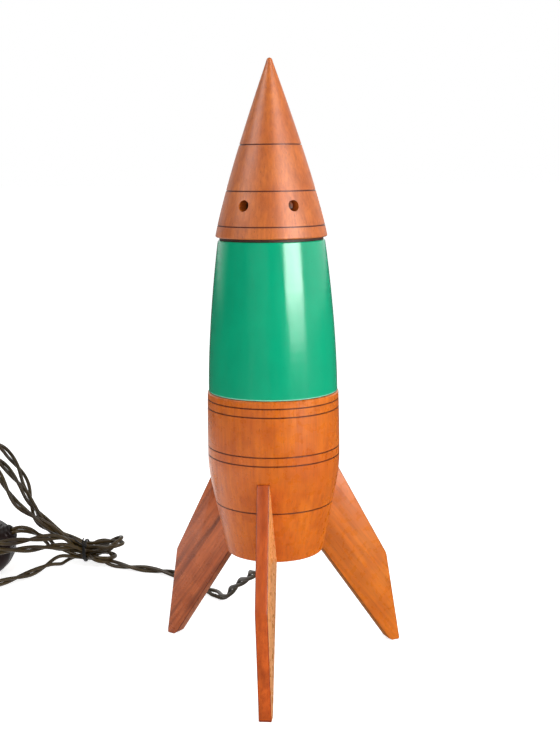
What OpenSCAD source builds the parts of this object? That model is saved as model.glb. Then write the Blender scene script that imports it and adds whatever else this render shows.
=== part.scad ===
// A turned-wood rocket table lamp on three fins, with a coloured plastic shade,
// a lift-off nose, a small screw-in bulb and a twisted two-core flex tied in a hank.
// Millimetres, +Z up. The lamp stands on z = 0, and its front fin points along -Y.

/* [Base] */
// Height of the base's underside above the table
base_bottom = 75; // [60:1:90]
// Height of the ledge that the shade stands on
base_top = 175.5; // [165:0.5:185]
// Largest radius of the base
base_r = 40.5; // [38:0.5:44]
// Radius of the base's underside
base_foot_r = 30; // [27:0.5:34]
// Radius of the sweep between the straight side and the tapered foot
base_sweep_r = 98; // [80:1:110]
// Depth of the pocket that holds the lampholder, below the ledge
pocket_depth = 29.5; // [25:0.5:35]

/* [Fins] */
// Thickness of a fin
fin_t = 7.4; // [5:0.2:9]
// How far a fin's foot reaches from the lamp's axis
foot_reach = 88.2; // [80:0.2:100]
// Height of a fin's top end
fin_top = 126; // [118:1:132]
// Radius from the axis of the bend in a fin's outer edge
elbow_r = 78; // [74:0.5:84]
// Height of that bend
elbow_z = 61; // [50:1:70]
// Sideways tilt of the front fin, which was glued in a little off true
front_tilt = 2.75; // [0:0.25:4]
// Turn of the front fin to its left, for the same reason
front_turn = 1.25; // [0:0.25:3]

/* [Shade] */
// Height of the shade's top rim
shade_top = 267.2; // [255:0.2:275]
// Outer radius of the shade at its bottom edge
shade_r = 39.3; // [38.9:0.1:39.9]
// Outer radius of the shade at its top rim
shade_top_r = 32.2; // [31.8:0.1:33]
// Thickness of the shade's wall
shade_wall = 2; // [1.8:0.1:2.2]

/* [Nose] */
// Height of the nose's lower edge
nose_bottom = 269; // [268.6:0.2:269.4]
// Height of the nose's tip
nose_tip = 373; // [360:1:385]
// Radius of the nose at its lower edge
nose_r = 33.6; // [33:0.1:34.4]
// Diameter of a vent hole
vent_d = 6.6; // [5:0.2:8]
// Number of vent holes
vents = 6; // [4:1:8]

/* [Grooves] */
// Width of a turned groove
groove_w = 0.5; // [0.4:0.1:1]
// Depth of a turned groove
groove_depth = 0.6; // [0.4:0.1:1.2]

/* [Flex] */
// Diameter of the twisted pair
flex_d = 5.2; // [4.6:0.2:5.6]
// Diameter of one insulated core
core_d = 2.6; // [2.2:0.1:2.6]
// Diameter of the plug
plug_d = 42; // [38:1:44]

/* [Hidden] */
$fn = 96;
e = 0.01;                                    // overshoot of a cut past the face it cuts
lift_gap = 0.3;                              // clearance between pieces that lift apart
// The lamp's axis stands behind the middle of its footprint, because one fin points forward.
axis_y = (foot_reach - (foot_reach / 2 + fin_t / 2 * cos(30))) / 2;
fin_turns = [-90 - front_turn, 30, 150];     // directions of the front, right and left fins
fin_tilts = [front_tilt, 0, 0];
tilt_z = 100;                                // height that a fin's tilt turns about
slot_floor_r = 26;                           // how deep the fins' slots are cut
foot_flat = 4;                               // width of a foot's flat contact with the table
foot_spare = 0.4;                            // length of a foot that is trimmed off level with the table
taper_top = 118;                             // where the base's straight taper ends
straight_bottom = 137;                       // where its side is vertical
swell = 0.5;                                 // how much the base's side draws in at the ledge
spigot_h = 8;                                // height of the base's spigot inside the shade
spigot_r = shade_r - shade_wall - lift_gap;
pocket_floor = base_top - pocket_depth;
pocket_r = 22;
flex_bore_r = 4.5;
base_grooves = [107, 136.9, 142.2, 166, 171.2];
nose_grooves = [275.9, 296.3, 323];
nose_power = 1.164;                          // how the nose's side curves
nose_apex = 3.2;                             // how far above the rounded tip its sides would meet
nose_wall = 7.5;
nose_hollow_top = 326;
nose_tip_r = 1.8;
vent_z = 288;
vent_first = 33;                             // turn of the first vent hole from the front fin
shade_power = 1.72;                          // how the shade's side curves
collar_in_r = 24.5;
collar_depth = 10;                           // how far the collar reaches into the shade
collar_seat_r = 28;

// Lampholder and bulb, from the pocket's floor upwards.
plate_t = 1.5;
nut_h = 3;
nipple_r = 5;
holder_z = pocket_floor + plate_t + nut_h;
holder_r = 14;
holder_top = holder_z + 46.5;
insert_z = holder_z + 13.5;
insert_h = 10;
sleeve_z = insert_z + insert_h;
sleeve_in_r = 7.05;
bulb_z = sleeve_z + 3;
bulb_len = 78;
bulb_r = 22.5;
bulb_cap_r = 6.9;
bulb_mid = bulb_z + bulb_len - bulb_r;

// The flex's strain relief leaves the underside at a slant, towards the back and left.
bush_lean = 38;
bush_turn = 118;
bush_len = 16.5;
bush_tail_from = 3.8;                        // where its tail starts, along the slant
bush_tail_r = 4.6;                           // radius of its tail where it starts
bush_core_bore_r = 3.1;
bush_flex_bore_r = 2.7;

// The flex's route to the hank, from the lamp's axis, and its short run from the hank to the plug.
lead_route = [[0, 0, 74], [-2.6, 4.9, 67], [-5.2, 9.8, 59.8], [-10, 18, 54], [-16, 28, 48.5],
    [-21, 40, 42], [-26, 52, 35], [-31, 62, 29], [-36, 72, 22.5], [-40, 81, 16], [-44, 90, 9.5],
    [-49, 100, 4.5], [-55, 109, 2.7], [-63, 117, 2.7], [-74, 126, 2.7], [-85, 139, 2.7],
    [-94, 150, 2.7], [-104, 156, 2.7], [-115, 159, 2.7], [-126, 162, 2.7], [-135, 165, 2.7],
    [-143, 168, 2.9], [-150, 171, 3.6], [-156, 174, 4.8]];
tail_route = [[-192, 170, 15], [-197, 164, 22.5], [-202, 158, 29], [-207, 153, 33.8], [-212, 149, 36.2],
    [-217, 146.7, 36], [-221, 146, 34], [-226, 146, 30.7]];
flex_sides = 10;
hank_at = [-171, 182];                       // the tie
tie_z = 9.5;
neck_h = 18;
fold_at = [-158, 186];
fold_r = 15;
run_at = [-188, 172];
run_r = 13;
coil_at = [-236, 143, 53];                   // middle of the leaning coil of loops
coil_lean = 57;
coil_turn = -39;
coil_in_r = 40;
coil_out_r = 56;
coil_t = 15;
plug_at = [-241, 149, plug_d / 2];
plug_turn = 33;                              // slant of the cable entry above the level
plug_face = 12;                              // height of the plug's face above its rim's middle
pin_r = 2.4;
pin_shank_r = 2.1;                           // radius of a pin inside the plug
pin_len = 19;
pin_point = 1;                               // length of a pin's tapered end
pin_gap = 19;
pin_slack = 0.05;                            // clearance round a pin in its hole
plug_seam = 4;                               // where the plug's cover meets its base
plug_entry = 12;                             // where the cable entry starts, from the middle
plug_entry_z = -3;

module on_axis() translate([0, axis_y, 0]) children();

// A ring cutter: a turned groove in a surface of radius r at height z.
module groove(r, z)
    translate([0, 0, z]) rotate_extrude()
        translate([r - groove_depth, -groove_w / 2]) square([groove_depth + 2, groove_w]);

// ---- base ------------------------------------------------------------------------------
// Radius of the base at height z: straight taper, swept turn, then a slightly swelling side.
function base_radius(z) =
    z < straight_bottom
        ? let (turn_top_r = base_r - base_sweep_r * (1 - cos(asin(
              min(1, (straight_bottom - max(z, taper_top)) / base_sweep_r)))))
          z >= taper_top ? turn_top_r
              : base_foot_r + (turn_top_r - base_foot_r) * (z - base_bottom) / (taper_top - base_bottom)
        : base_r - swell * pow((z - straight_bottom) / (base_top - straight_bottom), 2);

module base_blank() {
    sweep_zs = [for (i = [0:8]) taper_top + i * (straight_bottom - taper_top) / 8];
    side_zs = [for (i = [1:6]) straight_bottom + i * (base_top - 0.6 - straight_bottom) / 6];
    rotate_extrude() polygon(concat(
        [[0, base_bottom], [base_foot_r - 0.6, base_bottom], [base_foot_r, base_bottom + 0.6]],
        [for (z = concat(sweep_zs, side_zs)) [base_radius(z), z]],
        [[base_radius(base_top) - 0.6, base_top], [spigot_r, base_top],
         [spigot_r, base_top + spigot_h - 1], [spigot_r - 1, base_top + spigot_h],
         [0, base_top + spigot_h]]));
}

// Stands its children in the plane of fin k: X is outwards from the axis, and Z is up the fin.
module at_fin(k) rotate([0, 0, fin_turns[k]]) translate([0, 0, tilt_z])
    rotate([fin_tilts[k], 0, 0]) translate([0, 0, -tilt_z]) children();

module base_body() color("#b5622a") on_axis() difference() {
    base_blank();
    translate([0, 0, pocket_floor]) cylinder(r = pocket_r, h = 60);
    translate([0, 0, pocket_floor - 6]) cylinder(r = 9, h = 7);
    translate([0, 0, base_bottom - 1]) cylinder(r = flex_bore_r, h = 120);
    for (k = [0:2]) at_fin(k) translate([slot_floor_r, -fin_t / 2, base_bottom - 3])
        cube([base_r, fin_t, fin_top - base_bottom + 3]);
    for (z = base_grooves) groove(base_radius(z), z);
    for (s = [-1, 1]) translate([s * 12, 0, pocket_floor - 12]) cylinder(d = 2.4, h = 14, $fn = 24);
}

// ---- fins ------------------------------------------------------------------------------
// Points of an arc of radius r that rounds the corner b between a and c.
function rounded(a, b, c, r, n = 6) =
    let (u = (a - b) / norm(a - b), v = (c - b) / norm(c - b),
         half = acos(u * v) / 2, reach = r / tan(half),
         mid = b + (u + v) / norm(u + v) * r / sin(half),
         p = b + u * reach - mid, q = b + v * reach - mid,
         a0 = atan2(p[1], p[0]), da = atan2(p[0] * q[1] - p[1] * q[0], p * q))
    [for (i = [0:n]) mid + r * [cos(a0 + da * i / n), sin(a0 + da * i / n)]];

module fin_outline() {
    heel = [foot_reach - 8.3, 1.8];
    sole = [foot_reach - 0.8 - foot_flat, -foot_spare];
    toe = [foot_reach, 0.9];
    elbow = [elbow_r, elbow_z];
    shoulder = [41.3, fin_top];
    polygon(concat(
        [[slot_floor_r, base_bottom], [base_foot_r - 1.5, base_bottom]],
        rounded([base_foot_r - 1.5, base_bottom], heel, sole, 1.5),
        [sole, [foot_reach - 0.8, -foot_spare]],
        [toe],
        rounded(toe, elbow, shoulder, 7),
        rounded(elbow, shoulder, [slot_floor_r, fin_top], 0.8),
        [[slot_floor_r, fin_top]]));
}

module fin(k) on_axis() difference() {
    at_fin(k) rotate([90, 0, 0]) translate([0, 0, -fin_t / 2])
        linear_extrude(height = fin_t) fin_outline();
    rotate([0, 0, fin_turns[k]]) translate([foot_reach - 20, -20, -10]) cube([40, 40, 10]);
}

module fin_front() color("#b8571f") fin(0);
module fin_right() color("#c26a2c") fin(1);
module fin_left() color("#a4552f") fin(2);

// ---- shade and nose --------------------------------------------------------------------
shade_bottom = base_top + lift_gap;
function shade_radius(z) =
    shade_r - (shade_r - shade_top_r) * pow((z - shade_bottom) / (shade_top - shade_bottom), shade_power);

module shade() color("#0f9b6c") on_axis() {
    zs = [for (i = [0:16]) shade_bottom + i * (shade_top - shade_bottom) / 16];
    last = len(zs) - 1;
    rotate_extrude() polygon(concat(
        [[shade_r - shade_wall, shade_bottom], [shade_r - 0.4, shade_bottom]],
        [for (i = [0:last]) [shade_radius(zs[i]), i == 0 ? zs[i] + 0.4 : i == last ? zs[i] - 0.4 : zs[i]]],
        [[shade_top_r - 0.4, shade_top]],
        [for (i = [last:-1:0]) [shade_radius(zs[i]) - shade_wall, zs[i]]]));
}

function nose_radius(z) =
    nose_r * (1 - pow((z - nose_bottom) / (nose_tip + nose_apex - nose_bottom), nose_power));

module nose_cone() color("#b5622a") on_axis() difference() {
    tip_z = nose_tip - nose_tip_r;
    zs = [for (i = [1:20]) nose_bottom + 0.6 + i * (tip_z - 2.4 - nose_bottom) / 20];
    hollow_r = nose_radius(nose_hollow_top) - nose_wall * 0.7;
    mouth_r = nose_radius(nose_bottom + 6) - nose_wall;
    rotate_extrude() polygon(concat(
        [[0, nose_bottom], [nose_r - 0.6, nose_bottom], [nose_r, nose_bottom + 0.6]],
        [for (z = zs) [nose_radius(z), z]],
        [for (a = [15:15:90]) [nose_tip_r * cos(a), tip_z + nose_tip_r * sin(a)]]));
    rotate_extrude() polygon([[0, nose_bottom - 1], [mouth_r, nose_bottom - 1], [mouth_r, nose_bottom + 6],
        [hollow_r, nose_hollow_top], [0, nose_hollow_top]]);
    translate([0, 0, nose_bottom - 1]) cylinder(r = collar_seat_r, h = 7);
    for (z = nose_grooves) groove(nose_radius(z), z);
    for (i = [0:vents - 1]) rotate([0, 0, vent_first - 90 + i * 360 / vents])
        translate([12, 0, vent_z]) rotate([0, 90, 0]) cylinder(d = vent_d, h = 30, $fn = 40);
}

module nose_collar() color("#3a2418") on_axis() {
    seat_z = shade_top + lift_gap;
    reach_r = shade_top_r - shade_wall - lift_gap;
    rotate_extrude() polygon([[collar_in_r, seat_z - collar_depth], [reach_r - 1, seat_z - collar_depth],
        [reach_r, seat_z - collar_depth + 1], [reach_r, seat_z], [shade_top_r - 1, seat_z],
        [shade_top_r - 1, nose_bottom], [collar_seat_r, nose_bottom],
        [collar_seat_r, nose_bottom + 6], [collar_in_r, nose_bottom + 6]]);
}

// ---- lampholder ------------------------------------------------------------------------
module tube(r_out, r_in, z, h) translate([0, 0, z]) difference() {
    cylinder(r = r_out, h = h);
    translate([0, 0, -e]) cylinder(r = r_in, h = h + 2 * e);
}

module holder_plate() color("#b9bcc0") on_axis() difference() {
    tube(18, nipple_r, pocket_floor, plate_t);
    for (s = [-1, 1]) translate([s * 12, 0, pocket_floor - e]) cylinder(d = 4, h = plate_t + 2 * e, $fn = 32);
}

module plate_screws() color("#c9a24a") on_axis() for (s = [-1, 1])
    translate([s * 12, 0, pocket_floor + plate_t]) difference() {
        union() {
            translate([0, 0, -13]) cylinder(d = 2.4, h = 13, $fn = 24);
            cylinder(r1 = 3.4, r2 = 2, h = 1.6, $fn = 32);
        }
        translate([-4, -0.4, 0.9]) cube([8, 0.8, 2]);
    }

module threaded_nipple() color("#c9a24a") on_axis() tube(nipple_r, 3.6, pocket_floor - 3, 15.5);

module lock_nut() color("#c9a24a") on_axis() translate([0, 0, pocket_floor + plate_t]) difference() {
    cylinder(r = 8.6, h = nut_h, $fn = 6);
    translate([0, 0, -e]) cylinder(r = nipple_r, h = nut_h + 2 * e);
}

module holder_cap() color("#1d1714") on_axis() rotate_extrude() polygon([
    [nipple_r, holder_z], [9, holder_z], [12.5, holder_z + 3], [holder_r, holder_z + 7],
    [holder_r, holder_z + 19], [holder_r - 2, holder_z + 19], [holder_r - 2, holder_z + 9],
    [11, holder_z + 8], [nipple_r, holder_z + 8]]);

module holder_shell() color("#1d1714") on_axis() rotate_extrude() polygon([
    [holder_r - 2.3, holder_z + 19], [holder_r, holder_z + 19], [holder_r, holder_top - 2],
    [holder_r - 1.5, holder_top], [8.6, holder_top], [8.6, holder_top - 2],
    [holder_r - 2.3, holder_top - 3.5]]);

module holder_insert() color("#e9e2d2") on_axis() difference() {
    translate([0, 0, insert_z]) cylinder(r = 11.4, h = insert_h);
    translate([0, 0, insert_z - e]) cylinder(r = 1.6, h = insert_h + 2 * e, $fn = 32);
    for (s = [-1, 1]) translate([s * 7, 0, insert_z - e]) cylinder(r = 1.4, h = 7, $fn = 32);
}

module thread_sleeve() color("#c9a24a") on_axis() {
    tube(7.7, sleeve_in_r, sleeve_z, 17);
    tube(10.5, 7.6, sleeve_z, 0.8);
}

module centre_contact() color("#c9a24a") on_axis() {
    translate([0, 0, sleeve_z - insert_h + 1]) cylinder(r = 1.6, h = insert_h - 1, $fn = 32);
    translate([0, 0, sleeve_z]) cylinder(r = 3, h = 1.2, $fn = 40);
    translate([0, 0, sleeve_z + 1.2]) cylinder(r1 = 2.4, r2 = 1.6, h = 1.6, $fn = 40);
}

module terminal_screws() color("#b9bcc0") on_axis() for (s = [-1, 1])
    translate([s * 7, 0, insert_z]) difference() {
        union() {
            translate([0, 0, -1.8]) cylinder(r = 2.4, h = 1.8, $fn = 32);
            cylinder(r = 1.4, h = 6, $fn = 32);
        }
        translate([-3, -0.35, -2]) cube([6, 0.7, 0.9]);
    }

// The two cores inside the lamp, from the strain relief up to the terminals.
module inner_leads() color("#3a2a16") on_axis() for (s = [-1, 1]) {
    knee = [s * 1.4, 0, insert_z - 4.3];
    translate([s * 1.4, 0, base_bottom]) cylinder(d = core_d, h = knee[2] - base_bottom, $fn = 20);
    translate(knee) sphere(d = core_d, $fn = 20);
    translate(knee) rotate([0, s * 78, 0]) cylinder(d = core_d, h = 5.4, $fn = 20);
}

// ---- bulb ------------------------------------------------------------------------------
module bulb_tip() color("#b9bcc0") on_axis() translate([0, 0, bulb_z]) {
    cylinder(r1 = 1.6, r2 = 2.6, h = 1, $fn = 40);
    translate([0, 0, 1]) cylinder(r = 2.6, h = 0.6, $fn = 40);
}

module bulb_insulator() color("#14100e") on_axis()
    translate([0, 0, bulb_z + 1.6]) cylinder(r1 = 3.2, r2 = 5.8, h = 3.4);

// The screw cap: rounded ridges at the thread's pitch.
module bulb_cap() color("#c8cacc") on_axis() {
    pitch = 2.82;
    z0 = bulb_z + 5;
    ridges = [for (i = [0:40]) [bulb_cap_r - 0.35 + 0.35 * cos(i * 45), z0 + 1 + i * pitch / 8]];
    rotate_extrude() polygon(concat([[5, z0], [5.8, z0]], ridges,
        [[bulb_cap_r, z0 + 17], [bulb_cap_r, z0 + 19], [5, z0 + 19]]));
}

// The glass ball's half outline, inset by t, with a round shoulder down to the neck.
function ball_side(t) = concat(
    [[7.4 - t, bulb_z + 24], [7.6 - t, bulb_z + 27.5], [9.6 - t, bulb_z + 32.4]],
    [for (a = [-58:8:86]) [(bulb_r - t) * cos(a), bulb_mid + (bulb_r - t) * sin(a)]],
    [[0, bulb_mid + bulb_r - t]]);

module bulb_glass() color("#f3efe6") on_axis() difference() {
    rotate_extrude() polygon(concat([[0, bulb_z + 24]], ball_side(0)));
    translate([0, 0, -e]) rotate_extrude() polygon(concat([[0, bulb_z + 24]], ball_side(0.8)));
}

module bulb_stem() color("#dfe8ea") on_axis() translate([0, 0, bulb_z + 24]) {
    cylinder(r1 = 6, r2 = 2.4, h = 8, $fn = 40);
    translate([0, 0, 8]) cylinder(r = 1.6, h = 12, $fn = 32);
}

module bulb_filament() color("#5b5550") on_axis() {
    foot = bulb_z + 32.15;
    top = bulb_mid + 3;
    lean = 18;
    for (s = [-1, 1]) {
        translate([s * 2, 0, foot]) rotate([0, s * lean, 0])
            cylinder(r = 0.35, h = (top - foot) / cos(lean), $fn = 16);
        rotate([0, 0, 90]) translate([s * 3, 0, top - 0.4]) sphere(r = 0.5, $fn = 16);
    }
    reach = 2 + (top - foot) * tan(lean);
    translate([-reach, 0, top]) rotate([0, 90, 0]) cylinder(r = 0.5, h = 2 * reach, $fn = 16);
}

// ---- flex ------------------------------------------------------------------------------
// Points along a smooth curve through every point of a route, with steps between two of them.
function curve_point(p, i, t) =
    let (a = p[max(i - 1, 0)], b = p[i], c = p[i + 1], d = p[min(i + 2, len(p) - 1)])
    0.5 * ((2 * b) + (c - a) * t + (2 * a - 5 * b + 4 * c - d) * t * t + (3 * b - a - 3 * c + d) * t * t * t);
function smooth(p, steps) = concat(
    [for (i = [0:len(p) - 2], k = [0:steps - 1]) curve_point(p, i, k / steps)], [p[len(p) - 1]]);
function unit(v) = v / norm(v);
function heading(p, i) = unit(p[min(i + 1, len(p) - 1)] - p[max(i - 1, 0)]);

// A round tube of radius r swept along the points p.
module sweep(p, r) {
    n = len(p);
    s = flex_sides;
    rings = [for (i = [0:n - 1])
        let (t = heading(p, i), side = unit(cross(t, abs(t[2]) > 0.95 ? [0, 1, 0] : [0, 0, 1])),
             over = cross(side, t))
        for (k = [0:s - 1]) p[i] + r * (cos(360 * k / s) * side + sin(360 * k / s) * over)];
    walls = [for (i = [0:n - 2], k = [0:s - 1])
        [i * s + k, i * s + (k + 1) % s, (i + 1) * s + (k + 1) % s, (i + 1) * s + k]];
    polyhedron(points = rings, faces = concat([[for (k = [s - 1:-1:0]) k]], walls,
        [[for (k = [0:s - 1]) (n - 1) * s + k]]), convexity = 6);
}

module flex_lead() color("#3a2a16") on_axis() sweep(smooth(lead_route, 2), flex_d / 2);
module flex_tail() color("#3a2a16") on_axis() sweep(smooth(tail_route, 2), flex_d / 2);

// A flat outline around two circles and the straight lines that touch both.
module belt(a, ra, b, rb) {
    d = norm(b - a);
    turn = atan2(b[1] - a[1], b[0] - a[0]);
    lean = acos((ra - rb) / d);
    translate(a) circle(r = ra);
    translate(b) circle(r = rb);
    polygon([for (s = [1, -1]) a + ra * [cos(turn + s * lean), sin(turn + s * lean)],
        for (s = [-1, 1]) b + rb * [cos(turn + s * lean), sin(turn + s * lean)]]);
}

// The tied neck of the hank: its folds on one side of the tie, its runs on the other.
module flex_neck() color("#3a2a16") on_axis() linear_extrude(height = neck_h) {
    belt(hank_at, 9, fold_at, fold_r);
    belt(hank_at, 9, run_at, run_r);
}

// The open loops, as one leaning coil that rests against the plug.
module flex_coil() color("#3a2a16") on_axis() translate(coil_at) rotate([0, coil_lean, coil_turn])
    translate([0, 0, -coil_t / 2]) rotate_extrude() polygon([[coil_in_r, 2], [coil_in_r + 2, 0],
        [coil_out_r - 4, 0], [coil_out_r, 4], [coil_out_r, coil_t - 4], [coil_out_r - 4, coil_t],
        [coil_in_r + 2, coil_t], [coil_in_r, coil_t - 2]]);

module hank_tie() color("#0c0c0c") on_axis() translate([hank_at[0], hank_at[1], tie_z])
    rotate([0, 90, 0]) translate([0, 0, -1.2]) difference() {
        cylinder(r = 9.5, h = 2.4);
        translate([0, 0, -e]) cylinder(r = 8, h = 2.4 + 2 * e);
    }

// A pushed-in sleeve and flange, a round elbow, and a tapered tail that follows the flex.
module flex_bush() color("#171310") on_axis() difference() {
    sleeve_r = flex_bore_r - 0.1;
    union() {
        translate([0, 0, base_bottom - 2]) rotate_extrude()
            polygon([[0, 0], [6.2, 0], [7, 2], [sleeve_r, 2], [sleeve_r, 12], [0, 12]]);
        translate([0, 0, base_bottom - 2]) sphere(r = bush_tail_r - 0.2);
        translate([0, 0, base_bottom]) rotate([0, 180 - bush_lean, bush_turn])
            translate([0, 0, bush_tail_from]) cylinder(r1 = bush_tail_r, r2 = 3.4, h = bush_len);
    }
    translate([0, 0, base_bottom]) cylinder(r = bush_core_bore_r, h = 12, $fn = 48);
    translate([0, 0, base_bottom + 0.8]) rotate([0, 180 - bush_lean, bush_turn])
        cylinder(r = bush_flex_bore_r, h = bush_len + 8, $fn = 48);
}

// ---- plug ------------------------------------------------------------------------------
// The plug stands on its rim, with its pins pointing back along +Y.
module on_plug() on_axis() translate(plug_at) rotate([-90, 0, 0]) children();

// Along the cable entry in the plug's side.
module in_entry() rotate([0, 0, -plug_turn]) translate([plug_entry, 0, plug_entry_z])
    rotate([0, 90, 0]) children();

module plug_cover() color("#15110f") on_plug() difference() {
    union() {
        rotate_extrude() polygon([[0, -12], [12, -12], [17, -11], [plug_d / 2 - 1, -8],
            [plug_d / 2, -5], [plug_d / 2, plug_seam], [0, plug_seam]]);
        in_entry() cylinder(r1 = 7.5, r2 = 5.5, h = 12);
    }
    translate([0, 0, -9]) cylinder(r = plug_d / 2 - 3, h = 20);
    in_entry() cylinder(r = flex_d / 2 + 0.3, h = 20, $fn = 48);
}

module plug_base() color("#15110f") on_plug() difference() {
    union() {
        translate([0, 0, plug_seam])
            cylinder(r1 = plug_d / 2, r2 = plug_d / 2 - 1, h = plug_face - plug_seam);
        cylinder(r = plug_d / 2 - 3.2, h = plug_seam + 1);
    }
    for (s = [-1, 1]) translate([s * pin_gap / 2, 0, -1])
        cylinder(r = pin_shank_r + pin_slack, h = 20, $fn = 48);
    translate([0, 0, -1]) cylinder(r = 1.7, h = 20, $fn = 32);
    translate([0, 0, 9.5]) cylinder(r = 3.6, h = 5, $fn = 40);
}

module plug_pins() color("#c9a24a") on_plug() for (s = [-1, 1]) translate([s * pin_gap / 2, 0, 0]) {
    translate([0, 0, -4]) cylinder(r = pin_shank_r, h = plug_face + 4, $fn = 48);
    translate([0, 0, plug_face]) cylinder(r = pin_r, h = pin_len - pin_point, $fn = 48);
    translate([0, 0, plug_face + pin_len - pin_point])
        cylinder(r1 = pin_r, r2 = pin_r - pin_point, h = pin_point, $fn = 48);
}

module plug_screw() color("#b9bcc0") on_plug() difference() {
    union() {
        translate([0, 0, -9]) cylinder(r = 1.7, h = 19, $fn = 32);
        translate([0, 0, 9.5]) cylinder(r = 3.4, h = 1.8, $fn = 40);
    }
    translate([-4, -0.4, 10.4]) cube([8, 0.8, 2]);
}

module plug_cord_grip() color("#6b3f22") on_plug() rotate([0, 0, -plug_turn]) translate([11, -7, -7.6])
    difference() {
        cube([4, 14, 2]);
        for (y = [2.5, 11.5]) translate([2, y, -e]) cylinder(d = 2.2, h = 3, $fn = 24);
    }

base_body();
fin_front();
fin_right();
fin_left();
shade();
nose_cone();
nose_collar();
holder_plate();
plate_screws();
threaded_nipple();
lock_nut();
holder_cap();
holder_shell();
holder_insert();
thread_sleeve();
centre_contact();
terminal_screws();
inner_leads();
bulb_glass();
bulb_cap();
bulb_insulator();
bulb_tip();
bulb_stem();
bulb_filament();
flex_bush();
flex_lead();
flex_neck();
flex_coil();
flex_tail();
hank_tie();
plug_cover();
plug_base();
plug_pins();
plug_screw();
plug_cord_grip();
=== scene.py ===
# A turned-wood rocket table lamp: varnished wood, a green shade, and a twisted flex tied in a hank.
import math

import bpy
from mathutils import Matrix, Vector


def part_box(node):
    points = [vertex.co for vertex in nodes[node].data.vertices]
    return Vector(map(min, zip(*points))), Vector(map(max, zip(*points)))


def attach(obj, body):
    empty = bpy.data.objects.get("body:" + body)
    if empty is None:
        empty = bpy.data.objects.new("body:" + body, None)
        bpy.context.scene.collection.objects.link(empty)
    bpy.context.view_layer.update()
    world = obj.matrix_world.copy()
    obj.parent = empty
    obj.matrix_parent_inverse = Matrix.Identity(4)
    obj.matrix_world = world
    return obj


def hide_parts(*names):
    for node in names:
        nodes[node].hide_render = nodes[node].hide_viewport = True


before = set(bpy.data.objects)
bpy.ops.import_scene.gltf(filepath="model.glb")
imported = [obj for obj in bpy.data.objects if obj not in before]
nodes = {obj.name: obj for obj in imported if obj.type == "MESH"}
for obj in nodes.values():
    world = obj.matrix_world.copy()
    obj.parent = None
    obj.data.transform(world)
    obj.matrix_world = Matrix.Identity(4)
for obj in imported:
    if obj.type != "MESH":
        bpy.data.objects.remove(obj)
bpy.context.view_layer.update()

MM = 0.001
PER_MM = 1000.0  # a texture's scale for a pattern that is one millimetre wide

shade_low, shade_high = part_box("shade")
nose_low, nose_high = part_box("nose_cone")
axis = Vector(((shade_low.x + shade_high.x) / 2, (shade_low.y + shade_high.y) / 2, 0))


def at_axis(x, y, z):
    """A point given in millimetres from the lamp's axis and the table, in the frame's metres."""
    return axis + Vector((x, y, z)) * MM


# ---- camera, floor and light --------------------------------------------------------------
VIEW_TURN = math.radians(6.2)  # how far round towards +X the camera stands
VIEW_DISTANCE = 732.3  # from the lamp's axis, along the table
VIEW_HEIGHT = 313.4
AIM_TURN = math.radians(5.865)
AIM_DOWN = math.radians(10.12)
AIM_ROLL = math.radians(-0.59)
LENS = 57.9  # on a sensor 36 mm wide
SENSOR_WIDTH = 36


def add_camera():
    """The camera stands a little to the right of the lamp's front and looks slightly down."""
    data = bpy.data.cameras.new("camera")
    data.lens = LENS
    data.sensor_width = SENSOR_WIDTH
    data.clip_start = 0.02
    camera = bpy.data.objects.new("camera", data)
    bpy.context.scene.collection.objects.link(camera)
    place = at_axis(VIEW_DISTANCE * math.sin(VIEW_TURN), -VIEW_DISTANCE * math.cos(VIEW_TURN), VIEW_HEIGHT)
    turn = (
        Matrix.Rotation(AIM_TURN, 4, "Z")
        @ Matrix.Rotation(math.pi / 2 - AIM_DOWN, 4, "X")
        @ Matrix.Rotation(AIM_ROLL, 4, "Z")
    )
    camera.matrix_world = Matrix.Translation(place) @ turn
    bpy.context.scene.camera = camera


def linear(colour):
    """An sRGB hex colour as linear red, green, blue and alpha."""
    parts = [int(colour[i : i + 2], 16) / 255 for i in (1, 3, 5)]
    return [c / 12.92 if c <= 0.04045 else ((c + 0.055) / 1.055) ** 2.4 for c in parts] + [1.0]


def add(tree, kind, inputs=None, **settings):
    """Adds a node. inputs gives each socket, by name or number, a value or the socket that feeds it."""
    node = tree.nodes.new(kind)
    for name, value in settings.items():
        setattr(node, name, value)
    for name, value in (inputs or {}).items():
        if isinstance(value, bpy.types.NodeSocket):
            tree.links.new(value, node.inputs[name])
        else:
            node.inputs[name].default_value = value
    return node


def ramp(tree, value, low, high, start, end):
    """start where value is at low, and end where it is at high."""
    return add(tree, "ShaderNodeMapRange", {0: value, 1: low, 2: high, 3: start, 4: end}).outputs[0]


def math_node(tree, operation, first, second=0.0):
    return add(tree, "ShaderNodeMath", {0: first, 1: second}, operation=operation).outputs[0]


ROOM_TURN = math.radians(15)  # how far round the room's bright side is turned
ROOM_FROM = -0.2  # from here back, along the turned Y, the mirrored room grows bright
ROOM_TO = 0.3
ROOM_DIM = 0.04
ROOM_BRIGHT = 1.1
ROOM_FILL = 0.42
WHITE = (1, 1, 1, 1)


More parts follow.
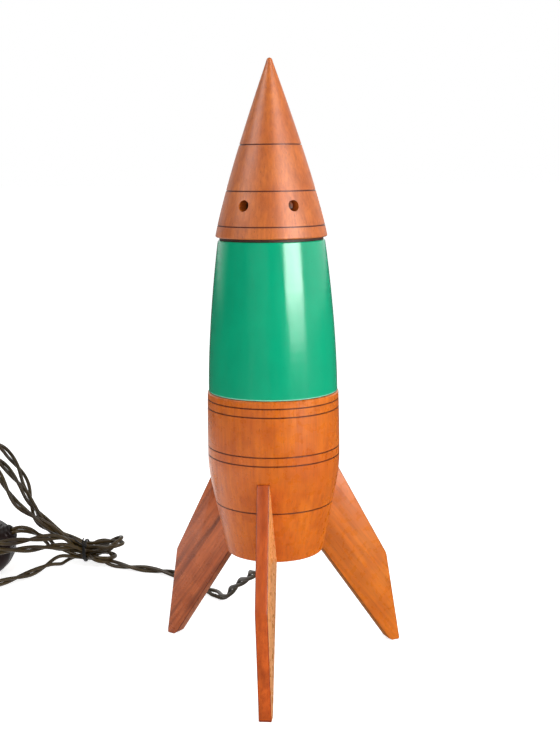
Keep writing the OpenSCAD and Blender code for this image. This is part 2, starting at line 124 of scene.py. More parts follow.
def add_room():
    """A white backdrop, an even fill, and a mirror image that is bright behind the lamp and dim in front."""
    world = bpy.data.worlds.new("studio")
    bpy.context.scene.world = world
    world.use_nodes = True
    tree = world.node_tree
    tree.nodes.clear()
    where = add(tree, "ShaderNodeTexCoord").outputs["Generated"]
    turned = add(tree, "ShaderNodeMapping", {"Vector": where, "Rotation": (0, 0, ROOM_TURN)})
    parts = add(tree, "ShaderNodeSeparateXYZ", {0: turned.outputs[0]})
    bright = ramp(tree, parts.outputs["Y"], ROOM_FROM, ROOM_TO, ROOM_DIM, ROOM_BRIGHT)
    path = add(tree, "ShaderNodeLightPath")
    fill, mirrored, backdrop = (
        add(tree, "ShaderNodeBackground", {"Color": WHITE, "Strength": strength}).outputs[0]
        for strength in (ROOM_FILL, bright, 1.0)
    )
    light = add(tree, "ShaderNodeMixShader", {0: path.outputs["Is Glossy Ray"], 1: fill, 2: mirrored})
    seen = add(
        tree, "ShaderNodeMixShader", {0: path.outputs["Is Camera Ray"], 1: light.outputs[0], 2: backdrop}
    )
    add(tree, "ShaderNodeOutputWorld", {"Surface": seen.outputs[0]})


SOFTBOX_AIM = 0.2  # height on the lamp that every soft light faces


def add_softbox(name, turn, distance, height, size, power, role):
    """A soft light, turned about the lamp from the front towards +X, aimed at its middle.

    role is glow for one that lights without a reflection, and gleam for one that is only reflected."""
    data = bpy.data.lights.new(name, "AREA")
    data.shape = "RECTANGLE"
    data.size, data.size_y = size
    data.energy = power
    light = bpy.data.objects.new(name, data)
    bpy.context.scene.collection.objects.link(light)
    place = axis + Vector((distance * math.sin(turn), -distance * math.cos(turn), height))
    aim = axis + Vector((0, 0, SOFTBOX_AIM)) - place
    light.matrix_world = Matrix.Translation(place) @ aim.to_track_quat("-Z", "Y").to_matrix().to_4x4()
    light.visible_glossy = role == "gleam"
    light.visible_diffuse = role == "glow"


FLOOR_SIZE = 30
FLOOR_PALE, FLOOR_DARK = 0.9, 0.1  # the table's own tone, and its tone in the lamp's reflections
FLOOR_LIFT = 0.72  # what keeps the table white to the camera
FLOOR_SHEEN = 1.8  # how bright the table's left side is in the lamp's reflections
SHEEN_FROM, SHEEN_TO = 0.0, -0.3  # where along X the sheen starts and is full
SHEEN_NEAR, SHEEN_FAR = 0.5, 0.85  # how far from the origin it begins to fade and is gone


def add_floor():
    """A plain white table that stays pale to the camera and lends the lamp's left side a sheen."""
    bpy.ops.object.select_all(action="DESELECT")
    bpy.ops.mesh.primitive_plane_add(size=FLOOR_SIZE, location=(0, 0, 0))
    floor = bpy.context.object
    floor.name = "floor"
    material = bpy.data.materials.new("white_paper")
    material.use_nodes = True
    tree = material.node_tree
    shader = tree.nodes["Principled BSDF"]
    shader.inputs["Roughness"].default_value = 0.9
    shader.inputs["Specular IOR Level"].default_value = 0.1
    path = add(tree, "ShaderNodeLightPath")
    glossy = path.outputs["Is Glossy Ray"]
    tree.links.new(ramp(tree, glossy, 0, 1, FLOOR_PALE, FLOOR_DARK), shader.inputs["Base Color"])
    where = add(tree, "ShaderNodeTexCoord").outputs["Object"]
    sideways = add(tree, "ShaderNodeSeparateXYZ", {0: where}).outputs["X"]
    distance = add(tree, "ShaderNodeVectorMath", {0: where}, operation="LENGTH").outputs["Value"]
    from_left = ramp(tree, sideways, SHEEN_FROM, SHEEN_TO, 0, FLOOR_SHEEN)
    nearby = ramp(tree, distance, SHEEN_FAR, SHEEN_NEAR, 0, 1)
    sheen = math_node(tree, "MULTIPLY", glossy, math_node(tree, "MULTIPLY", from_left, nearby))
    seen = math_node(tree, "MULTIPLY", path.outputs["Is Camera Ray"], FLOOR_LIFT)
    shader.inputs["Emission Color"].default_value = WHITE
    tree.links.new(math_node(tree, "ADD", seen, sheen), shader.inputs["Emission Strength"])
    floor.data.materials.append(material)


add_camera()
add_room()
add_floor()
add_softbox("key", math.radians(68), 1.5, 0.7, (1.2, 1.2), 23, "glow")
add_softbox("front_fill", math.radians(-20), 1.6, 0.5, (1.2, 1.0), 10, "glow")
add_softbox("window", math.radians(50), 1.3, 0.56, (0.85, 0.5), 22, "gleam")
add_softbox("window_sill", math.radians(52), 1.3, 0.24, (0.7, 0.16), 2, "gleam")
add_softbox("window_top", math.radians(44), 1.3, 1.3, (0.8, 0.95), 15, "gleam")
add_softbox("left_wall", math.radians(-66), 1.4, 1.35, (1.1, 1.1), 26, "gleam")
bpy.context.scene.view_settings.view_transform = "Standard"


# ---- the flex ------------------------------------------------------------------------------
CORE_R = 1.4
TWIST_PITCH = 56.0
FLEX_STEP = 1.5
FLEX_START = (-5.2, 9.8, 59.8)  # where it leaves the strain relief
SLACK_AT = 312.0  # where along the flex its twist has come open
SLACK_LENGTH = 9.0
BUNDLE_R = 5.0  # from the middle of the tied bundle to the runs round it
LOOP_POINTS = 18
EYE_POINTS = 9
EYE_HALF_TURN = 125  # degrees of a folded end on each side of its tip

# The route from the strain relief to the hank, from the lamp's axis, in millimetres.
LEAD_ROUTE = [
    (0, 0, 74), (-2.6, 4.9, 67), FLEX_START, (-10, 18, 54), (-16, 28, 48.5), (-21, 40, 42),
    (-26, 52, 35), (-31, 62, 29), (-36, 72, 22.5), (-40, 81, 16), (-44, 90, 9.5), (-49, 100, 4.5),
    (-55, 109, 2.7), (-63, 117, 2.7), (-74, 126, 2.7), (-85, 139, 2.7), (-94, 150, 2.7), (-104, 156, 2.7),
    (-115, 159, 2.7), (-126, 162, 2.7), (-135, 165, 2.7),
    (-143, 168, 2.9), (-150, 171, 3.6), (-156, 174, 4.8),
]
# The short run from the hank to the plug.
TAIL_ROUTE = [
    (-192, 170, 15), (-197, 164, 22.5), (-202, 158, 29), (-207, 153, 33.8), (-212, 149, 36.2),
    (-217, 146.7, 36), (-221, 146, 34), (-226, 146, 30.7),
]
TIE = Vector((-171, 182, 9.5))
# The loops lean against the plug in one plane: ACROSS runs level from the tie, RISE up the slope.
LEAN = math.radians(57)
LEAN_TURN = math.radians(-39)
LEAN_MATRIX = Matrix.Rotation(LEAN_TURN, 3, "Z") @ Matrix.Rotation(LEAN, 3, "Y")
ACROSS = -(LEAN_MATRIX @ Vector((0, 1, 0)))
RISE = -(LEAN_MATRIX @ Vector((1, 0, 0)))
OUTWARD = LEAN_MATRIX @ Vector((0, 0, 1))


def packed(place):
    """A run's place in the tied bundle: number 0 is in the middle, and 1 to 6 stand round it."""
    if place == 0:
        return TIE.copy()
    turn = math.radians(60 * place - 30)
    return TIE + BUNDLE_R * Vector((0, math.cos(turn), math.sin(turn)))


def leaning(across, rise, outward):
    """A point of the leaning loops: across and up their plane from the tie, and outward from it."""
    return TIE + across * ACROSS + rise * RISE + outward * OUTWARD


# Each loop, in millimetres in the leaning plane: its low run out, the middle and the half width and
# height of its round end, where that ends in degrees, its high run back, and how far it stands outward.
FIRST_LOOP = {
    "low": [(27, -2), (56, -5.5)],
    "centre": (84, 52),
    "reach": (53, 58),
    "end_turn": 106,
    "high": [(52, 106), (40, 99), (34.5, 88), (31, 76), (30.5, 62), (31.5, 46), (29, 27)],
    "outward": 0,
}
SECOND_LOOP = {
    "low": [(24, 7), (54, 12)],
    "centre": (89, 60),
    "reach": (49, 42),
    "end_turn": 148,
    "high": [(39.5, 62), (35, 44), (24, 22)],
    "outward": 6,
}
THIRD_LOOP = {
    "low": [(26, 13), (56, 18)],
    "centre": (95, 60),
    "reach": (43, 37),
    "end_turn": 148,
    "high": [(54, 55), (48, 42), (30, 22)],
    "outward": 11,
}
# Each folded end: its direction and slope from the tie, its radius and how far out its middle is.
UPPER_EYE = {"turn": math.radians(2), "rise": 0.28, "radius": 9, "reach": 20}
REAR_EYE = {"turn": math.radians(36), "rise": 0.1, "radius": 9, "reach": 15}
FRONT_EYE = {"turn": math.radians(-20), "rise": -0.16, "radius": 9, "reach": 15}


def loop_points(low, centre, reach, end_turn, high, outward):
    """One loop from the tie and back: its low run, a round end up to end_turn, and its high run."""
    points = [leaning(p, q, outward) for p, q in low]
    for k in range(LOOP_POINTS):
        turn = math.radians(-90 + (end_turn + 90) * k / (LOOP_POINTS - 1))
        across = centre[0] + reach[0] * math.cos(turn)
        points.append(leaning(across, centre[1] + reach[1] * math.sin(turn), outward))
    return points + [leaning(p, q, outward) for p, q in high]


def eye_points(turn, rise, radius, reach):
    """The folded end of the hank on the other side of the tie, from one run round to the next."""
    level = Vector((math.cos(turn), math.sin(turn), 0))
    beside = Vector((-level.y, level.x, 0))
    points = []
    for k in range(EYE_POINTS):
        a = math.radians(EYE_HALF_TURN - 2 * EYE_HALF_TURN * k / (EYE_POINTS - 1))
        along = reach + radius * math.cos(a)
        points.append(TIE + along * level + radius * math.sin(a) * beside + Vector((0, 0, rise * along)))
    return points


def flex_route():
    """The flex's centreline points, from the strain relief through the hank to the plug."""
    route = [Vector(p) for p in LEAD_ROUTE]
    route += [packed(5), *loop_points(**FIRST_LOOP), packed(2), *eye_points(**UPPER_EYE)]
    route += [packed(3), *loop_points(**SECOND_LOOP), packed(1), *eye_points(**REAR_EYE)]
    route += [packed(0), *loop_points(**THIRD_LOOP), packed(6), *eye_points(**FRONT_EYE)]
    return route + [packed(4)] + [Vector(p) for p in TAIL_ROUTE]


def smooth_line(route, step):
    """Points a step apart along a smooth curve through every point of the route."""
    fine = []
    for i in range(len(route) - 1):
        a, b, c, d = route[max(i - 1, 0)], route[i], route[i + 1], route[min(i + 2, len(route) - 1)]
        pieces = max(2, round((c - b).length / 0.5))
        for k in range(pieces):
            t = k / pieces
            bend = (2 * a - 5 * b + 4 * c - d) * t**2
            fine.append(0.5 * (2 * b + (c - a) * t + bend + (3 * b - a - 3 * c + d) * t**3))
    fine.append(route[-1])
    points, walked = [fine[0]], 0.0
    for p, q in zip(fine, fine[1:]):
        walked += (q - p).length
        if walked >= step:
            points.append(q)
            walked = 0.0
    return points


def twisted_cores(line):
    """The two cores' centrelines, wound round the line and parted where the twist is slack."""
    side = Vector((0, 0, 1))
    cores = ([], [])
    walked = 0.0
    for i, p in enumerate(line):
        heading = (line[min(i + 1, len(line) - 1)] - line[max(i - 1, 0)]).normalized()
        side = (side - side.dot(heading) * heading).normalized()
        over = heading.cross(side)
        turn = 2 * math.pi * walked / TWIST_PITCH
        ripple = math.sin(walked / 31) * math.sin(walked / 47 + 1.1)
        slack = math.exp(-(((walked - SLACK_AT) / SLACK_LENGTH) ** 2)) + 0.35 * max(0.0, ripple)
        apart = CORE_R * (1.02 + 1.1 * min(slack, 1.0))
        out = apart * (math.cos(turn) * side + math.sin(turn) * over)
        for core, place in zip(cores, (p + out, p - out)):
            core.append(Vector((place.x, place.y, max(place.z, CORE_R + 0.02))))
        walked += (line[min(i + 1, len(line) - 1)] - p).length
    return cores


def tube(name, points, radius, resolution=3):
    """A round wire along points in millimetres from the axis, as a closed mesh."""
    data = bpy.data.curves.new(name, "CURVE")
    data.dimensions = "3D"
    data.bevel_depth = radius * MM
    data.bevel_resolution = resolution
    data.use_fill_caps = True
    spline = data.splines.new("POLY")
    spline.points.add(len(points) - 1)
    for point, place in zip(spline.points, points):
        point.co = [*at_axis(*place), 1]
    wire = bpy.data.objects.new(name, data)
    bpy.context.scene.collection.objects.link(wire)
    bpy.ops.object.select_all(action="DESELECT")
    wire.select_set(True)
    bpy.context.view_layer.objects.active = wire
    bpy.ops.object.convert(target="MESH")
    wire = bpy.context.object
    bpy.ops.object.shade_smooth()
    return wire


def join(pieces, name):
    """Joins the pieces into the first one and gives it the name."""
    bpy.ops.object.select_all(action="DESELECT")
    for piece in pieces:
        piece.select_set(True)
    bpy.context.view_layer.objects.active = pieces[0]
    bpy.ops.object.join()
    pieces[0].name = name
    return pieces[0]


STRING_R = 0.5
STRING_TURN_R = 8.6
STRING_TURNS = 2
KNOT_SIZE = 0.62
KNOT_PLACE = TIE + Vector((0.4, -7.6, 5.6))


def add_string_tie():
    """Thin black string wound round the hank, with its knot in front and three loose ends."""
    turns = []
    steps = 36 * STRING_TURNS
    for k in range(steps + 1):
        a = math.radians(130 + 10 * k)
        along = 1.5 * (k / steps - 0.5) * STRING_TURNS * STRING_R
        turns.append(TIE + Vector((along, STRING_TURN_R * math.cos(a), STRING_TURN_R * math.sin(a))))
    knot = []
    for k in range(49):
        t = 2 * math.pi * k / 48
        across = math.sin(t) + 2 * math.sin(2 * t)
        up = math.cos(t) - 2 * math.cos(2 * t)
        knot.append(KNOT_PLACE + KNOT_SIZE * Vector((across, -math.sin(3 * t), up)))
    tails = [
        [(0, 0, 0), (-3, -1.6, 3), (-7.2, -2, 6.2), (-11.5, -1.5, 9.6)],
        [(0, 0, 0), (-0.9, -1.4, 3), (-0.6, -1.2, 5.2), (0.2, -1, 7.4)],
        [(0, 0, 0), (0.9, -2.2, -3), (1.3, -2.6, -7.2), (2.2, -2.4, -11)],
    ]
    wires = [tube("string_turns", turns, STRING_R), tube("string_knot", knot, STRING_R)]
    for tail in tails:
        line = smooth_line([KNOT_PLACE + Vector(p) for p in tail], 0.8)
        wires.append(tube("string_tail", line, STRING_R))
    return join(wires, "string_tie")


string_tie = add_string_tie()
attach(string_tie, "base")
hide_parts("hank_tie")

# The plug's cover: it faces the front, its cable entry slants up to the right, and its rim has grip ribs.
PLUG_AT = (-241, 149, 21)
PLUG_R = 21
PLUG_SEAM = 4
PLUG_ENTRY_TURN = math.radians(33)
RIBS = 66
RIM_FRONT, RIM_BACK = -5, PLUG_SEAM
# How the cover domes out from its rim, ring by ring: a step forward and the ring's shrinking.
DOME = ((1.5, 0.985), (1.5, 0.955), (2, 0.93), (1.3, 0.91), (0.7, 0.86), (0.3, 0.6), (0, 0.4))
ENTRY_R = 7.2
ENTRY_DEPTH = 8
# The collar of the cable entry and then its mouth, in the same way along the cable.
ENTRY_RINGS = ((1.2, 0.88), (0.3, 1), (1.6, 0.98), (0.8, 0.9), (0, 0.56), (-6, 1))


def pick_faces(piece, wanted):
    """Selects in edit mode the faces for which wanted(centre, normal) is true."""
    bpy.ops.object.mode_set(mode="EDIT")
    bpy.ops.mesh.select_mode(type="FACE")
    bpy.ops.mesh.select_all(action="DESELECT")
    bpy.ops.object.mode_set(mode="OBJECT")
    for face in piece.data.polygons:
        face.select = wanted(face.center, face.normal)
    bpy.ops.object.mode_set(mode="EDIT")


def pull(move, scale, centre):
    """Extrudes the picked faces by move and then scales them about centre."""
    bpy.ops.mesh.extrude_region_move(TRANSFORM_OT_translate={"value": move})
    bpy.ops.transform.resize(value=scale, center_override=centre)


def finish_piece(piece, bevel, angle=35):
    """Eases the edges by a small bevel and shades the piece smooth between its sharp ones."""
    bpy.ops.object.mode_set(mode="OBJECT")
    edge = piece.modifiers.new("eased_edges", "BEVEL")
    edge.width = bevel * MM
    edge.segments = 2
    edge.angle_limit = math.radians(angle)
    bpy.ops.object.modifier_apply(modifier=edge.name)
    bpy.ops.object.shade_smooth_by_angle(angle=math.radians(angle))


def add_plug_cover():
    """The plug's cover: a domed and hollowed disc with grip ribs, and a collar for the cable."""
    bpy.ops.object.select_all(action="DESELECT")
    centre = at_axis(*PLUG_AT)
    bpy.ops.mesh.primitive_cylinder_add(
        vertices=2 * RIBS,
        radius=PLUG_R * MM,
        depth=(RIM_BACK - RIM_FRONT) * MM,
        location=centre + Vector((0, (RIM_FRONT + RIM_BACK) / 2, 0)) * MM,
        rotation=(math.pi / 2, 0, 0),
    )
    cover = bpy.context.object
    bpy.ops.object.transform_apply()
    pick_faces(cover, lambda c, n: n.y < -0.5)
    for out, shrink in DOME:
        pull((0, -out * MM, 0), (shrink, 1, shrink), centre)
    pick_faces(cover, lambda c, n: n.y > 0.5)
    pull((0, 0, 0), (0.86, 1, 0.86), centre)
    pull((0, -9 * MM, 0), (0.98, 1, 0.98), centre)
    step = math.pi / RIBS
    pick_faces(
        cover,
        lambda c, n: abs(n.y) < 0.1
        and (c - centre).length > 0.95 * PLUG_R * MM
        and round(math.atan2(c.z - centre.z, c.x - centre.x) / step - 0.5) % 2 == 0,
    )
    bpy.ops.mesh.inset(thickness=0.22 * MM, depth=-0.7 * MM, use_individual=True)
    finish_piece(cover, 0.12)
    heading = Vector((math.cos(PLUG_ENTRY_TURN), 0, math.sin(PLUG_ENTRY_TURN)))
    bpy.ops.object.select_all(action="DESELECT")
    start = centre + Vector((0, -3, 0)) * MM + 19 * MM * heading
    bpy.ops.mesh.primitive_cylinder_add(
        vertices=48,
        radius=ENTRY_R * MM,
        depth=ENTRY_DEPTH * MM,
        location=start,
        rotation=heading.to_track_quat("Z", "Y").to_euler(),
    )
    entry = bpy.context.object
    bpy.ops.object.transform_apply()
    pick_faces(entry, lambda c, n: n.dot(heading) > 0.9)
    for out, shrink in ENTRY_RINGS:
        end = start + heading * (ENTRY_DEPTH * MM) / 2
        pull(heading * out * MM, (shrink, shrink, shrink), end)
        start = start + heading * out * MM
    finish_piece(entry, 0.25)
    return join([cover, entry], "plug_cover_ribbed")


plug_cover = add_plug_cover()
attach(plug_cover, "base")
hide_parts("plug_cover")

flex_line = smooth_line(flex_route(), FLEX_STEP)
cores = twisted_cores(flex_line)
flex = join([tube(f"core_{k}", core, CORE_R) for k, core in enumerate(cores)], "twisted_flex")
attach(flex, "base")
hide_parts("flex_lead", "flex_neck", "flex_coil", "flex_tail")


# ---- materials -----------------------------------------------------------------------------
VARNISH_IOR = 1.5  # also right for the plastics and the glass


def new_material(name):
    """A material, its node tree and its main shader."""
    material = bpy.data.materials.new(name)
    material.use_nodes = True
    return material, material.node_tree, material.node_tree.nodes["Principled BSDF"]


def mix_colour(tree, amount, below, above):
    """One colour over another; amount is a socket, and a colour is a socket or a hex value."""
    colours = [linear(c) if isinstance(c, str) else c for c in (below, above)]
    return add(tree, "ShaderNodeMix", {0: amount, 6: colours[0], 7: colours[1]}, data_type="RGBA").outputs[2]


def noise(tree, vector, size_mm, detail=3, rough=0.55):
    """A noise whose blotches are size_mm across."""
    inputs = {"Vector": vector, "Scale": PER_MM / size_mm, "Detail": detail, "Roughness": rough}
    return add(tree, "ShaderNodeTexNoise", inputs).outputs[0]


def between(tree, value, low, high, to=1.0):
    """0 where value is at low, and to where it is at high."""
    return ramp(tree, value, low, high, 0, to)


def emboss(tree, shader, height, strength, distance_mm):
    """A shallow relief in the surface."""
    bump = add(
        tree, "ShaderNodeBump", {"Height": height, "Strength": strength, "Distance": distance_mm * MM}
    )
    tree.links.new(bump.outputs[0], shader.inputs["Normal"])


def set_gloss(tree, shader, roughness, level):
    """How blurred the reflections are, from a socket, and how strong they are."""
    tree.links.new(roughness, shader.inputs["Roughness"])
    shader.inputs["IOR"].default_value = VARNISH_IOR
    shader.inputs["Specular IOR Level"].default_value = level


# The turned grooves' dark red-brown: partly their burnt lines, partly painted shade in the groove hollows.
GROOVE_BURN_AND_SHADE = "#4f1a0c"
BASE_GROOVES = (107, 136.9, 142.2, 166, 171.2)
NOSE_GROOVES = (275.9, 296.3, 323)


def varnished_wood(
    name, tones, rough, turn=(0, 0, 0), grooves=(), gloss=0.38, streak=0.65, figure=0.0, fleck=0.45
):
    """Stained beech under varnish: clouds of stain, streaks along the grain and short dark pores.

    tones are the pale, middle, dark and pore colours. The grain runs along the turned Z. streak, figure
    and fleck are how strong the fine streaks, the broad bands of sawn wood and the pores are."""
    material, tree, shader = new_material(name)
    where = add(tree, "ShaderNodeTexCoord")
    turned = add(tree, "ShaderNodeMapping", {"Vector": where.outputs["Object"], "Rotation": turn}).outputs[0]
    grain = add(tree, "ShaderNodeMapping", {"Vector": turned, "Scale": (1, 1, 0.05)}).outputs[0]
    pores = add(tree, "ShaderNodeMapping", {"Vector": turned, "Scale": (1, 1, 0.2)}).outputs[0]
    streaks = noise(tree, grain, 2.2, 6, 0.7)
    flecks = noise(tree, pores, 0.8, 2)
    colour = mix_colour(tree, between(tree, noise(tree, turned, 24), 0.34, 0.66), tones[0], tones[1])
    colour = mix_colour(tree, between(tree, streaks, 0.4, 0.7, streak), colour, tones[2])
    stains = noise(tree, turned, 11, 4, 0.6)
    colour = mix_colour(tree, between(tree, stains, 0.52, 0.74, 0.4), colour, tones[2])
    colour = mix_colour(tree, between(tree, noise(tree, grain, 8, 4), 0.52, 0.68, figure), colour, tones[3])
    colour = mix_colour(tree, between(tree, flecks, 0.64, 0.75, fleck), colour, tones[3])
    height = add(tree, "ShaderNodeSeparateXYZ", {0: where.outputs["Object"]}).outputs["Z"]
    # A dark band at each groove's height: the burnt line plus painted shade for the groove's hollow.
    for z in grooves:
        far = math_node(tree, "ABSOLUTE", math_node(tree, "SUBTRACT", height, z * MM))
        burn_and_shade = ramp(tree, far, 0.25 * MM, 0.6 * MM, 0.85, 0)
        colour = mix_colour(tree, burn_and_shade, colour, GROOVE_BURN_AND_SHADE)
    tree.links.new(colour, shader.inputs["Base Color"])
    emboss(tree, shader, math_node(tree, "SUBTRACT", streaks, flecks), 0.2, 0.1)
    worn = ramp(tree, noise(tree, turned, 5, 4), 0.3, 0.7, rough - 0.05, rough + 0.08)
    set_gloss(tree, shader, worn, gloss)
    return material


def moulded(name, colour, rough, second, gloss=0.5, grit=0.6):
    """Moulded plastic, rubber or china: faintly cloudy, with a fine skin and handling marks in its gloss."""
    material, tree, shader = new_material(name)
    where = add(tree, "ShaderNodeTexCoord").outputs["Object"]
    clouds = between(tree, noise(tree, where, 14, 4), 0.35, 0.65)
    tree.links.new(mix_colour(tree, clouds, colour, second), shader.inputs["Base Color"])
    emboss(tree, shader, noise(tree, where, grit, 3), 0.12, 0.05)
    marks = noise(tree, where, 3, 5, 0.7)
    set_gloss(tree, shader, ramp(tree, marks, 0.3, 0.75, rough * 0.85, rough * 1.35), gloss)
    return material


def shade_plastic():
    """Glossy green moulded plastic: even colour, faint upright wipes, and a painted highlight along the rim
    at its foot.
    """
    material, tree, shader = new_material("moulded_green_shade")
    where = add(tree, "ShaderNodeTexCoord").outputs["Object"]
    upright = add(tree, "ShaderNodeMapping", {"Vector": where, "Scale": (1, 1, 0.08)}).outputs[0]
    colour = mix_colour(tree, between(tree, noise(tree, where, 30, 3), 0.35, 0.65), "#009f73", "#00996f")
    wipes = noise(tree, upright, 3.5, 5, 0.7)
    colour = mix_colour(tree, between(tree, wipes, 0.55, 0.8, 0.25), colour, "#078d66")
    dust = noise(tree, where, 0.9, 2)
    colour = mix_colour(tree, between(tree, dust, 0.7, 0.76, 0.5), colour, "#0a6b4f")
    height = add(tree, "ShaderNodeSeparateXYZ", {0: where}).outputs["Z"]
    # Painted highlight: the lowest millimetre of the shade turns pale green, standing in for light caught by
    # the rim's edge.
    rim_highlight = between(tree, height, shade_low.z + 0.9 * MM, shade_low.z + 0.5 * MM)
    colour = mix_colour(tree, rim_highlight, colour, "#8fd9bd")
    tree.links.new(colour, shader.inputs["Base Color"])
    emboss(tree, shader, noise(tree, where, 12, 2), 0.2, 0.2)
    set_gloss(tree, shader, ramp(tree, wipes, 0.3, 0.75, 0.12, 0.24), 0.5)
    return material


def metal(name, colour, second, rough):
    """Plated or turned metal: tarnish in soft patches, and fine scratches in its gloss and skin."""
    material, tree, shader = new_material(name)
    where = add(tree, "ShaderNodeTexCoord").outputs["Object"]
    tarnish = between(tree, noise(tree, where, 5, 4, 0.65), 0.4, 0.7)
    tree.links.new(mix_colour(tree, tarnish, colour, second), shader.inputs["Base Color"])
    wear = noise(tree, where, 0.8, 5, 0.7)
    tree.links.new(ramp(tree, wear, 0, 1, rough - 0.12, rough + 0.15), shader.inputs["Roughness"])
    emboss(tree, shader, wear, 0.1, 0.04)
    shader.inputs["Metallic"].default_value = 1.0
    return material


def clear_glass(name):
    """Blown glass: clear and smooth, with a trace of waviness and dust."""
    material, tree, shader = new_material(name)
    where = add(tree, "ShaderNodeTexCoord").outputs["Object"]
    emboss(tree, shader, noise(tree, where, 9, 2), 0.1, 0.1)
    dust = ramp(tree, noise(tree, where, 2, 4, 0.7), 0.4, 0.8, 0.01, 0.12)
    tree.links.new(dust, shader.inputs["Roughness"])
    shader.inputs["Base Color"].default_value = WHITE
    shader.inputs["IOR"].default_value = VARNISH_IOR
    shader.inputs["Transmission Weight"].default_value = 1.0
    return material


def grain_turn(fin_turn, lean=math.radians(38)):
    """The mapping turn that lays a wood's grain down and outwards along the fin at fin_turn."""
    return tuple((Matrix.Rotation(lean, 3, "Y") @ Matrix.Rotation(-fin_turn, 3, "Z")).to_euler())


turned_wood = varnished_wood(
    "turned_beech_orange_varnish", ("#d57016", "#c7600f", "#a04108", "#561f09"), 0.28, grooves=BASE_GROOVES
)
nose_wood = varnished_wood(
    "turned_beech_polished_varnish", ("#c86b22", "#b75b1b", "#8d3e11", "#4a1e0b"), 0.4, grooves=NOSE_GROOVES
)
# The collar gets near-black tones, which make the seam between nose and shade dark.
collar_wood = varnished_wood("collar_dark_wood", ("#4a2c1c", "#3a2015", "#26140d", "#120805"), 0.5)
green_plastic = shade_plastic()
zinc = metal("zinc_plated_steel", "#b9bcc0", "#8f9296", 0.35)
brass = metal("turned_brass", "#c9a24a", "#8f6a2a", 0.3)
phenolic = moulded("black_phenolic", "#1c1310", 0.3, "#2b1812")
porcelain = moulded("glazed_porcelain", "#ece7da", 0.12, "#e0d8c6")
flex_plastic = moulded("brown_flex_covering", "#40300f", 0.3, "#2a1d06", gloss=0.3)
plug_plastic = moulded("maroon_black_phenolic", "#170c0a", 0.35, "#231311", gloss=0.15)
tinned = metal("tinned_bulb_cap", "#c8cacc", "#9b9ea0", 0.3)
glass = clear_glass("clear_blown_glass")
black_glass = moulded("black_glass_ring", "#14100e", 0.1, "#1d1714")
rubber = moulded("black_rubber", "#171310", 0.6, "#241d18", gloss=0.3)
string = moulded("waxed_black_string", "#0d0c0c", 0.5, "#1b1918", gloss=0.3, grit=0.3)
tungsten = metal("tungsten_wire", "#5b5550", "#45403c", 0.4)
fibre = moulded("red_brown_fibre", "#6b3f22", 0.7, "#5a331a", gloss=0.2)

# ---- the fins ------------------------------------------------------------------------------
# Each fin's direction from the axis, and its pale, middle, dark and pore tones on its faces and its edges;
# the tones hold painted light, paler on surfaces facing the right-hand lights.
FINS = {
    "fin_front": (
        -91.25,
        ("#e9a56a", "#e09858", "#cd8040", "#a05a2a"),
        ("#c85a1a", "#b94f12", "#93380d", "#4a1708"),
    ),
    "fin_right": (
        30,
        ("#d87820", "#cb6a18", "#a54d10", "#5c2409"),
        ("#c98a4e", "#bd7a3c", "#9a5524", "#5c2409"),
    ),
    "fin_left": (
        150,
        ("#c5693a", "#b2592e", "#883c1b", "#431a0b"),
        ("#b86a40", "#a55a32", "#7d3a1c", "#431a0b"),
    ),
}
FIN_EASE = 0.45  # how far a fin's edges are sanded off


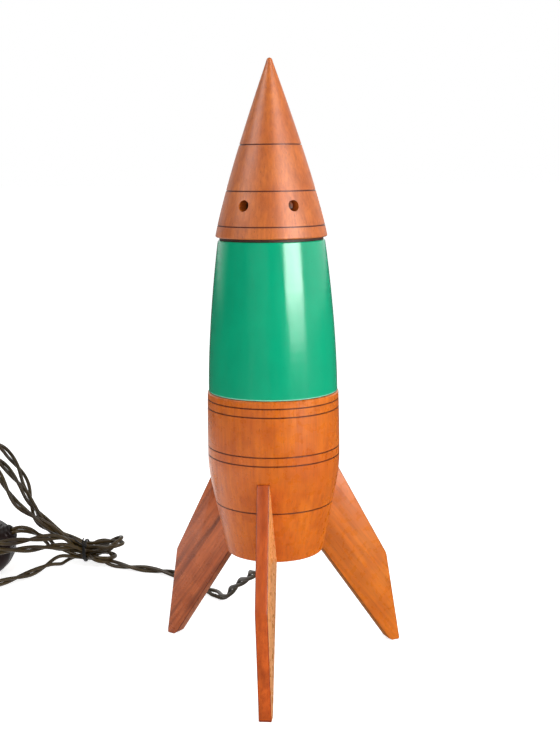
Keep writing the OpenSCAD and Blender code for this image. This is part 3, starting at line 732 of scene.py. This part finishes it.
def eased_fin(node, turn, face_tones, edge_tones):
    """The fin with its edges sanded off, in three sets of tones: broad faces, sawn edges and darker eased
    corners.
    """
    bpy.ops.object.select_all(action="DESELECT")
    fin = bpy.data.objects.new(node + "_eased", nodes[node].data.copy())
    bpy.context.scene.collection.objects.link(fin)
    fin.select_set(True)
    bpy.context.view_layer.objects.active = fin
    bpy.ops.object.mode_set(mode="EDIT")
    bpy.ops.mesh.select_all(action="SELECT")
    bpy.ops.mesh.remove_doubles(threshold=0.01 * MM)
    bpy.ops.mesh.dissolve_limited(angle_limit=math.radians(1))
    bpy.ops.object.mode_set(mode="OBJECT")
    grain = grain_turn(math.radians(turn))
    figure = 0.9 if node == "fin_left" else 0.3
    fin.data.materials.clear()
    # Face and edge tones carry painted light as well as the wood's own colour: those facing the lights on the
    # right are paler.
    finishes = (("face", face_tones, 0.28, 0.38), ("edge", edge_tones, 0.4, 0.2))
    for part, tones, rough, gloss in finishes:
        look = {"turn": grain, "gloss": gloss, "figure": figure, "streak": 0.7, "fleck": 0.25}
        fin.data.materials.append(varnished_wood(f"{node}_{part}_beech", tones, rough, **look))
    # The eased corners take the edge's dark and pore tones, which outline each fin darker.
    dark = [edge_tones[2], edge_tones[2], edge_tones[3], edge_tones[3]]
    fin.data.materials.append(varnished_wood(f"{node}_corner_beech", dark, 0.3, turn=grain))
    across = Vector((-math.sin(math.radians(turn)), math.cos(math.radians(turn)), 0))
    for face in fin.data.polygons:
        face.material_index = 0 if abs(face.normal.dot(across)) > 0.8 else 1
    ease = fin.modifiers.new("sanded", "BEVEL")
    ease.width = FIN_EASE * MM
    ease.segments = 2
    ease.angle_limit = math.radians(30)
    ease.material = 2
    bpy.ops.object.modifier_apply(modifier=ease.name)
    bpy.ops.object.shade_smooth_by_angle(angle=math.radians(40))
    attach(fin, "base")
    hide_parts(node)
    return fin


for fin_node, (fin_turn, faces, edges) in FINS.items():
    eased_fin(fin_node, fin_turn, faces, edges)

FINISHES = {
    turned_wood: ["base_body"],
    nose_wood: ["nose_cone"],
    collar_wood: ["nose_collar"],
    green_plastic: ["shade"],
    zinc: ["holder_plate", "terminal_screws", "plug_screw"],
    brass: ["plate_screws", "threaded_nipple", "lock_nut", "thread_sleeve", "centre_contact", "plug_pins"],
    phenolic: ["holder_cap", "holder_shell"],
    plug_plastic: ["plug_base"],
    porcelain: ["holder_insert"],
    flex_plastic: ["inner_leads"],
    tinned: ["bulb_cap", "bulb_tip"],
    glass: ["bulb_glass", "bulb_stem"],
    black_glass: ["bulb_insulator"],
    rubber: ["flex_bush"],
    tungsten: ["bulb_filament"],
    fibre: ["plug_cord_grip"],
}
for finish, names in FINISHES.items():
    for name in names:
        nodes[name].data.materials.clear()
        nodes[name].data.materials.append(finish)
for piece, finish in ((flex, flex_plastic), (string_tie, string), (plug_cover, plug_plastic)):
    piece.data.materials.clear()
    piece.data.materials.append(finish)
